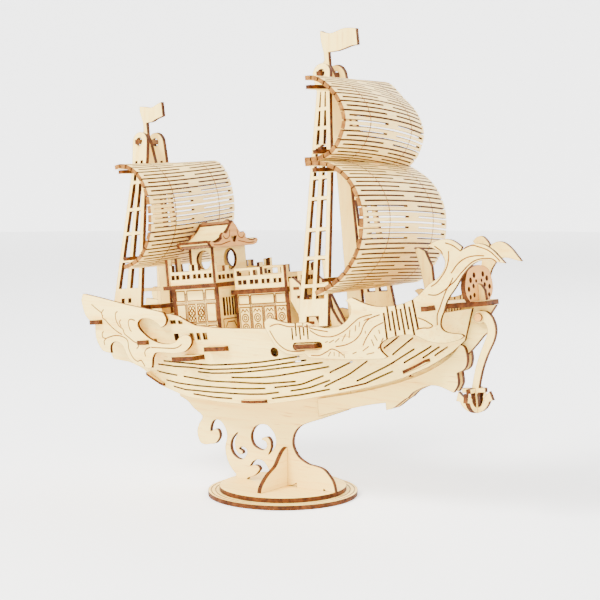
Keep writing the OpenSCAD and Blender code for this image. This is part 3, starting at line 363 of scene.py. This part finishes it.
def engraved(name, nodes, paths, source, direction, width=LINE_W, curved=True):
    """Scorched lines on the nodes' surface, thrown from source(point) along direction."""
    tree = surface(nodes)
    verts, faces = [], []
    for path in paths:
        run = smooth(path) if curved else [p for a, b in zip(path, path[1:]) for p in smooth([a, b])]
        hits = []
        for point in run:
            place, normal, _, _ = tree.ray_cast(source(point), direction)
            if place is None or abs(normal.dot(direction)) < 0.25:
                ribbon(verts, faces, hits, width * MM)
                hits = []
                continue
            if normal.dot(direction) > 0:
                normal = -normal
            if hits and (place - hits[-1][0]).length > 2.5 * MM:
                ribbon(verts, faces, hits, width * MM)
                hits = []
            hits.append((place, normal))
        ribbon(verts, faces, hits, width * MM)
    mesh = bpy.data.meshes.new(name)
    mesh.from_pydata([tuple(v) for v in verts], [], faces)
    mesh.materials.append(ENGRAVED)
    obj = bpy.data.objects.new(name, mesh)
    bpy.context.scene.collection.objects.link(obj)
    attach(obj, "ship")


def both_sides(name, nodes, paths, width=LINE_W, curved=True):
    """The same lines on the starboard plate and mirrored on the port one; # in a node is the side."""
    for side, label in ((-1, "starboard"), (1, "port")):
        chosen = [n.replace("#", label) for n in nodes]
        engraved(
            name + "_" + label, chosen, paths,
            lambda p, side=side: world(p[0], side * 60, p[1]), Vector((0, -side, 0)), width, curved=curved,
        )


both_sides("stern_engraving", ["stern_wave_#"], [
    [(-80.3, 84.1), (-77.1, 81.7), (-74.7, 80), (-74.1, 77.6), (-72.7, 76.8), (-69.8, 74), (-66.4, 71.5),
     (-63.4, 69.8)],
    [(-73.1, 81.5), (-74.7, 80), (-73.9, 78.6)],
    [(-64.9, 80.3), (-66.3, 79.3), (-66.3, 76.6), (-64.8, 73.8), (-62.7, 72.3), (-62, 70.3), (-60.3, 69),
     (-57, 66.7), (-54, 65.1), (-55.5, 63.3)],
    [(-63.3, 76.5), (-64.4, 75.5), (-63.5, 73.4)],
    [(-55, 75.8), (-57.6, 76.5), (-59.1, 75.3), (-58.6, 72.2), (-57.6, 71)],
    [(-74.3, 71.7), (-75.3, 70.7), (-75.1, 69), (-73.5, 68.4), (-74.6, 67.2), (-74.3, 65.5)],
    [(-73.5, 68.4), (-70.4, 69.2), (-66.7, 69.6), (-63.1, 68.9), (-60.5, 67.2), (-60.1, 63.4), (-58.2, 59.6),
     (-55.7, 57.8), (-53.4, 58.1), (-51.5, 55.4)],
    [(-47.4, 63.7), (-49.7, 63.1), (-51, 61.5), (-50.6, 59.8)],
    [(-47, 63.7), (-39.5, 63.2), (-33, 63), (-29.4, 64.5)],
])
both_sides("wing_engraving", ["bow_wing_#"], [
    [(40.1, 68.4), (44.7, 66), (50.8, 65.5), (56.4, 67.3), (61.4, 70.5), (64.7, 72.5), (69.9, 73.5)],
    [(52, 61.4), (57.1, 62), (61.6, 63.8), (64.3, 66.4), (65.9, 69.4), (68.5, 71.8), (73.1, 73.2)],
    [(64.7, 61.4), (66.1, 63.8), (67.9, 66.2), (70.2, 68.4), (74.1, 70.1)],
    [(39.7, 58.2), (43.9, 58.1), (47.4, 59.4), (50.2, 60.5), (53.5, 59.3), (55.4, 57.8)],
    [(70.8, 59.7), (71.6, 61.3), (73.3, 64)],
    [(86.1, 71.5), (88.8, 70), (90.4, 68.5), (91.2, 67.4), (90, 66.6), (88, 66.8), (85.7, 66.3)],
    [(99.8, 95.9), (99.6, 92.8), (98.7, 89.4), (96.9, 86.2), (95, 83.9), (93.2, 82.7)],
    [(112.2, 92.9), (108.9, 93.2), (105.3, 92.6), (102.4, 90.5), (100.1, 87.2)],
    [(100.6, 85.5), (98.9, 82.2), (97, 80.6), (94.5, 79.3), (91.9, 79.7)],
    [(117, 90), (114.9, 91.6), (110.3, 91.8), (106.9, 90.4), (103.4, 87), (101, 84), (98.4, 81.5), (96.4, 77.7),
     (94.8, 74.5), (93.3, 71.3), (92.6, 67.4)],
    [(95.3, 98.2), (97.5, 95.8), (97.6, 93), (96.7, 89.9), (94, 86.2), (88.9, 81.6), (84.7, 79.3), (79, 77.9),
     (72.5, 78), (66.9, 79.4)],
    [(98.9, 99.1), (101.4, 97.8), (103.7, 95.5)],
    [(103.8, 95.7), (107.6, 97.3), (110.2, 96.6), (113.9, 94.9), (116.4, 92.6), (118.2, 90.4)],
    [(20.2, 70.6), (24.4, 71.5), (30, 70.2), (36.7, 70.2), (42.8, 68.6), (49, 67.5)],
    [(20, 69), (23.2, 64), (27.6, 60.8), (32.2, 60), (36.8, 60.2)],
])
both_sides("wing_feathers", ["bow_wing_#"], [
    [(47.1, 63.2), (48.5, 63.6)], [(49.1, 63), (51.5, 64.1)], [(51.9, 63.1), (54.2, 64.7)],
    [(55.3, 63.4), (57.4, 66.3)], [(58.8, 64.6), (59.6, 67.9)], [(62, 67.2), (62.4, 69.6)],
    [(63.8, 68.8), (64.3, 70.9)], [(66.1, 71.2), (68.4, 72.1)], [(66.2, 66.1), (66.3, 67.2)],
    [(69.8, 65.3), (70.8, 63)], [(68.4, 63.7), (69.2, 61)], [(71.9, 67.3), (72.1, 65.7)],
    [(64.4, 59.2), (67.1, 61)], [(59.8, 58.3), (61.8, 59)], [(65.9, 57.9), (69.1, 58.4)],
    [(48.1, 57.6), (49.5, 59.4)], [(51, 57.6), (51.1, 59.3)], [(53.3, 57.3), (53.5, 59)],
    [(55.8, 56.8), (55.8, 58.4)],
], FINE_W)


def frame_lines(x0, x1, z0, z1, inset=0.0):
    """A closed rectangle as one path."""
    x0, x1, z0, z1 = x0 + inset, x1 - inset, z0 + inset, z1 - inset
    return [(x0, z0), (x1, z0), (x1, z1), (x0, z1), (x0, z0)]


def ring_line(x, z, r, n=14):
    """A circle as one path."""
    angles = [math.radians(360 * k / n) for k in range(n + 1)]
    return [(x + r * math.cos(a), z + r * math.sin(a)) for a in angles]


def lattice(x0, x1, z0, z1, nx, nz):
    """Diamonds that fill a door panel."""
    paths = []
    w, h = (x1 - x0) / nx, (z1 - z0) / nz
    for i in range(nx):
        for k in range(nz):
            x, z = x0 + w * (i + 0.5), z0 + h * (k + 0.5)
            paths.append([(x - w / 2, z), (x, z + h / 2), (x + w / 2, z), (x, z - h / 2), (x - w / 2, z)])
    return paths


# ---------------------------------------------------------------- sails
def ease(v):
    """0 to 1 with a soft start and a soft end."""
    v = min(1.0, max(0.0, v))
    return v * v * (3 - 2 * v)


class Sheet:
    """A bent sail: a profile swept across the ship, its belly rounded and its port side hanging lower."""

    def __init__(self, profile, half, droop, belly, thick):
        self.line = smooth(profile, 0.8)
        self.half, self.droop, self.belly, self.thick = half, droop, belly, thick
        self.run = [0.0]
        for a, b in zip(self.line, self.line[1:]):
            self.run.append(self.run[-1] + math.dist(a, b))
        self.total = self.run[-1]

    def profile_at(self, u):
        """The profile's station and height at arc length u."""
        xs, zs = [p[0] for p in self.line], [p[1] for p in self.line]
        return float(np.interp(u, self.run, xs)), float(np.interp(u, self.run, zs))

    def place(self, u, v, side):
        """The point at arc length u and breadth v, on the outer (side 1) or inner (side -1) face."""
        x, z = self.profile_at(u)
        x0, z0 = self.profile_at(u - 0.8)
        x1, z1 = self.profile_at(u + 0.8)
        reach = math.hypot(x1 - x0, z1 - z0)
        off = side * self.thick / 2
        across = v / self.half
        x += -(z1 - z0) / reach * off - self.belly * math.sin(math.pi * u / self.total) * across**2
        z += (x1 - x0) / reach * off
        hang = ease(u / (0.22 * self.total)) * ease((self.total - u) / (0.16 * self.total))
        z -= self.droop * ((across + 1) / 2) ** 1.4 * hang
        return world(x, v, z)


def cuts(breaks, step):
    """Breakpoints with extra ones between them, no more than step apart."""
    out = []
    for a, b in zip(breaks, breaks[1:]):
        n = max(1, math.ceil((b - a) / step))
        out += [a + (b - a) * i / n for i in range(n)]
    return out + [breaks[-1]]


def sail(name, node, sheet, rows, slit=0.6):
    """The sail's slats: slits open at the sides on odd rows, closed at the sides on even rows."""
    w, h = sheet.half, slit / 2
    vs = cuts([-w, SIDE_RAIL - w, -CENTRE_BRIDGE * w, CENTRE_BRIDGE * w, w - SIDE_RAIL, w], 3.2)
    slits = [PLAIN_END + (sheet.total - 2 * PLAIN_END) * r / (rows - 1) for r in range(rows)]
    breaks = [0.0] + [e for u in slits for e in (u - h, u + h)] + [sheet.total]
    us = cuts(breaks, 1.6)
    points = [sheet.place(u, v, s) for s in (1, -1) for u in us for v in vs]
    cols, layer = len(vs), len(us) * len(vs)

    def kept(i, k):
        """True where the sheet isn't cut away."""
        if not (0 <= i < len(us) - 1 and 0 <= k < cols - 1):
            return False
        u, v = (us[i] + us[i + 1]) / 2, (vs[k] + vs[k + 1]) / 2
        for r, at in enumerate(slits, 1):
            if abs(u - at) < h:
                return abs(v) > w - SIDE_RAIL if r % 2 == 0 else abs(v) < CENTRE_BRIDGE * w
        return True

    faces, kinds = [], []
    for i in range(len(us) - 1):
        for k in range(cols - 1):
            if not kept(i, k):
                continue
            a, b = i * cols + k, i * cols + k + 1
            c, d = b + cols, a + cols
            faces += [(a, b, c, d), (a + layer, d + layer, c + layer, b + layer)]
            kinds += [0, 0]
            sides = {(-1, 0): (a, b), (1, 0): (c, d), (0, -1): (d, a), (0, 1): (b, c)}
            for (di, dk), (e, f) in sides.items():
                if not kept(i + di, k + dk):
                    faces.append((f, e, e + layer, f + layer))
                    # Slit walls take the dark cut-edge material and the sail's outer rim the lighter sail_end
                    # one: the slits' darkness is partly real laser burn and partly painted shade for the shadow
                    # inside the narrow, deep slits.
                    kinds.append(1 if 0 <= k + dk < cols - 1 else 2)
    mesh = bpy.data.meshes.new(name)
    mesh.from_pydata([tuple(q) for q in points], [], faces)
    for material in (SAIL, EDGE, SAIL_END):
        mesh.materials.append(material)
    for polygon, kind in zip(mesh.polygons, kinds):
        polygon.material_index = kind
    obj = bpy.data.objects.new(name, mesh)
    bpy.context.scene.collection.objects.link(obj)
    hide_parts(node)
    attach(obj, "ship")
    sail_lines(name + "_lines", sheet)


def sail_lines(name, sheet):
    """Two engraved lines down the sail's outer face."""
    verts, quads = [], []
    for v in (-SAIL_LINE * sheet.half, SAIL_LINE * sheet.half):
        base = None
        n = int(sheet.total / 0.9)
        for i in range(n + 1):
            u = sheet.total * i / n
            out = sheet.place(u, v, 1)
            middle = out + (out - sheet.place(u, v, -1)).normalized() * LIFT
            verts += [middle + Vector((0, side * LINE_W / 2 * MM, 0)) for side in (-1, 1)]
            here = len(verts) - 2
            if base is not None:
                quads.append((base, base + 1, here + 1, here))
            base = here
    mesh = bpy.data.meshes.new(name)
    mesh.from_pydata([tuple(q) for q in verts], [], quads)
    mesh.materials.append(ENGRAVED)
    obj = bpy.data.objects.new(name, mesh)
    bpy.context.scene.collection.objects.link(obj)
    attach(obj, "ship")


# side profiles of the three sails, from head to foot
UPPER = [(49.6, 168.6), (54, 168.2), (58.4, 166.5), (62.9, 163.5), (67, 159.1), (69.3, 154.3), (69.8, 149.6),
         (67.9, 144.9), (65.1, 141.1), (60.3, 137.9), (53.8, 136.5), (46.2, 136.6)]
LOWER = [(48, 134.6), (53.6, 134.6), (59.7, 133.5), (65.6, 130.8), (70.6, 126.5), (74, 121.1), (75.8, 115.1),
         (75.7, 109), (73.9, 102), (69.9, 95.6), (63.6, 89.9), (56.5, 86), (47.8, 83.2)]
MIZZEN = [(-55, 143.3), (-51, 143.7), (-46.8, 142.8), (-41.1, 139.6), (-37.1, 134.5), (-34.9, 128.1),
          (-34.4, 121.2), (-35.6, 114.2), (-38.6, 108.2), (-43.6, 103.3), (-48.6, 101), (-54.6, 99.6)]
sail("upper_sail_slats", "main_upper_sail", Sheet(UPPER, 29.5, 5.0, 3.5, 1.8), 29)
sail("lower_sail_slats", "main_lower_sail", Sheet(LOWER, 32.0, 3.0, 3.5, 1.8), 38)
sail("mizzen_sail_slats", "mizzen_sail", Sheet(MIZZEN, 29.5, -3.4, 3.0, 1.8), 32)


# ---------------------------------------------------------------- cabin engraving
# aft cabin: framed doors with a lattice, on each side wall
doors = []
for x0, x1 in ((-36.0, -30.8), (-30.0, -25.4), (-24.8, -20.4), (-19.6, -14.0)):
    doors.append(frame_lines(x0, x1, 73.2, 81.4, 0.3))
    if x1 - x0 < 5:
        doors += lattice(x0 + 0.7, x1 - 0.7, 74.0, 80.6, 2, 3)
        doors.append(ring_line((x0 + x1) / 2, 77.3, 1.6))
for x0, x1 in ((-36.0, -30.8), (-30.0, -20.4), (-19.6, -14.0)):
    doors.append(frame_lines(x0, x1, 82.4, 87.4, 0.3))
    doors.append(frame_lines(x0, x1, 64.0, 72.2, 0.5))
both_sides("aft_doors", ["aft_side_walls"], doors, curved=False)

# forward cabin: four scrolled panels below, a blank plate above, framed corners
scrolls = [frame_lines(x0, x1, 79.5, 83.4) for x0, x1 in ((-1.3, 10.9), (-7.9, -2.3), (12.0, 17.0))]
for x in (-5.1, 1.5, 8.1, 14.4):
    scrolls.append(frame_lines(x - 2.7, x + 2.7, 66.5, 78.2))
    for z in (69.4, 73.6):
        scrolls.append(ring_line(x, z, 1.7))
        scrolls.append(ring_line(x, z, 0.8))
    scrolls.append([(x - 2, 76), (x - 1, 77.4), (x, 76.2), (x + 1, 77.4), (x + 2, 76)])
both_sides("fore_scrolls", ["fore_side_walls"], scrolls, curved=False)

# end walls and gables, seen from the bow and from the stern
bands = []
for s in (-1, 1):
    bands.append([(s * 6.8, 65), (s * 16.4, 65), (s * 16.4, 74), (s * 6.8, 74)])
    bands.append([(s * 7.8, 70.5), (s * 9, 72.6), (s * 13.6, 72.6), (s * 15, 70.5)])
gable_work = []
for s in (-1, 1):
    gable_work.append([(s * 2.6, 112.2), (s * 3.4, 109.2), (s * 6, 108.4), (s * 7.6, 109.8)])
    gable_work.append([(s * 2.8, 107.2), (s * 6.4, 106.6), (s * 10, 106), (s * 14.6, 106.1)])
zigzag = [(-10.8 + 1.2 * i, 91.4 + (1.1 if i % 2 else 0)) for i in range(19)]
ahead = (Vector((-math.cos(TRIM), 0, -math.sin(TRIM))), 60)
astern = (Vector((math.cos(TRIM), 0, math.sin(TRIM))), -90)
for label, (direction, start) in (("bow", ahead), ("stern", astern)):
    def source(p, start=start):
        return world(start, p[0], p[1])
    engraved("gable_lines_" + label, ["roof_gables"], gable_work, source, direction)
    engraved("pavilion_lines_" + label, ["pavilion_end_walls"], [zigzag], source, direction, curved=False)
engraved("aft_front_lines", ["aft_wall_front"], bands, lambda p: world(60, p[0], p[1]), ahead[0], curved=False)


# ---------------------------------------------------------------- light, floor, camera
def area_light(name, place, aim, size, power, colour=(1, 1, 1)):
    """A soft round lamp at a place, aimed at a point."""
    data = bpy.data.lights.new(name, "AREA")
    data.shape = "DISK"
    data.size = size
    data.energy = power
    data.color = colour
    light = bpy.data.objects.new(name, data)
    light.location = place
    light.rotation_euler = (Vector(aim) - Vector(place)).to_track_quat("-Z", "Y").to_euler()
    bpy.context.scene.collection.objects.link(light)


def ring_points(radius, count, z):
    """Points round the object's upright axis."""
    angles = [a * math.tau / count for a in range(count)]
    return [(radius * math.cos(a), radius * math.sin(a), z) for a in angles]


def studio(name, spots, polygons, material_name, scale, shades, glow):
    """A pale, softly glowing sheet that isn't part of the object."""
    mesh = bpy.data.meshes.new(name)
    mesh.from_pydata(spots, [], polygons)
    obj = bpy.data.objects.new(name, mesh)
    bpy.context.scene.collection.objects.link(obj)
    material, tree, shader = new_material(material_name)
    mottle = noise(tree, (scale, scale, scale), detail=1.0)
    tone = ramp(tree, mottle.outputs["Fac"], [(0.3, (shades[0],) * 3), (0.7, (shades[1],) * 3)])
    tree.links.new(tone.outputs["Color"], shader.inputs["Base Color"])
    shader.inputs["Emission Color"].default_value = (1, 1, 1, 1)
    shader.inputs["Emission Strength"].default_value = glow
    mesh.materials.append(material)
    return shader


def floor(radius=4.0, count=24):
    """A pale sheet that the stand rests on."""
    spots = [(0.0, 0.0, 0.0)] + ring_points(radius, count, 0.0)
    wedges = [(0, i + 1, (i + 1) % count + 1) for i in range(count)]
    shader = studio("floor", spots, wedges, "studio_floor", 3, (0.95, 0.97), 0.8)
    shader.inputs["Roughness"].default_value = 0.9


def backdrop(radius=2.4, height=2.6, count=48):
    """A pale wall all round the table, far from the object."""
    spots = ring_points(radius, count, -0.01) + ring_points(radius, count, height)
    quads = [(i, (i + 1) % count, count + (i + 1) % count, count + i) for i in range(count)]
    studio("backdrop", spots, quads, "studio_wall", 1, (0.96, 0.98), 1.2)


floor()
backdrop()
MIDDLE = (0, 0, 0.1)
area_light("key", (-0.25, -0.75, 0.85), MIDDLE, 0.4, 30.0, (1, 0.99, 0.96))
area_light("fill", (0.95, -0.35, 0.35), MIDDLE, 0.7, 3.0, (1, 0.98, 0.95))
area_light("back", (0.1, 0.8, 0.7), MIDDLE, 0.8, 9.0)
sky = bpy.data.worlds.new("studio")
sky.use_nodes = True
sky.node_tree.nodes["Background"].inputs["Color"].default_value = (1, 1, 1, 1)
sky.node_tree.nodes["Background"].inputs["Strength"].default_value = 0.2
bpy.context.scene.world = sky

camera_data = bpy.data.cameras.new("camera")
camera_data.lens = 90
camera_data.sensor_width = 36
camera = bpy.data.objects.new("camera", camera_data)
camera.location = (0.37687, -0.51948, 0.14511)
camera.rotation_euler = (math.radians(84.6), 0, math.radians(35.3))
bpy.context.scene.collection.objects.link(camera)
bpy.context.scene.camera = camera
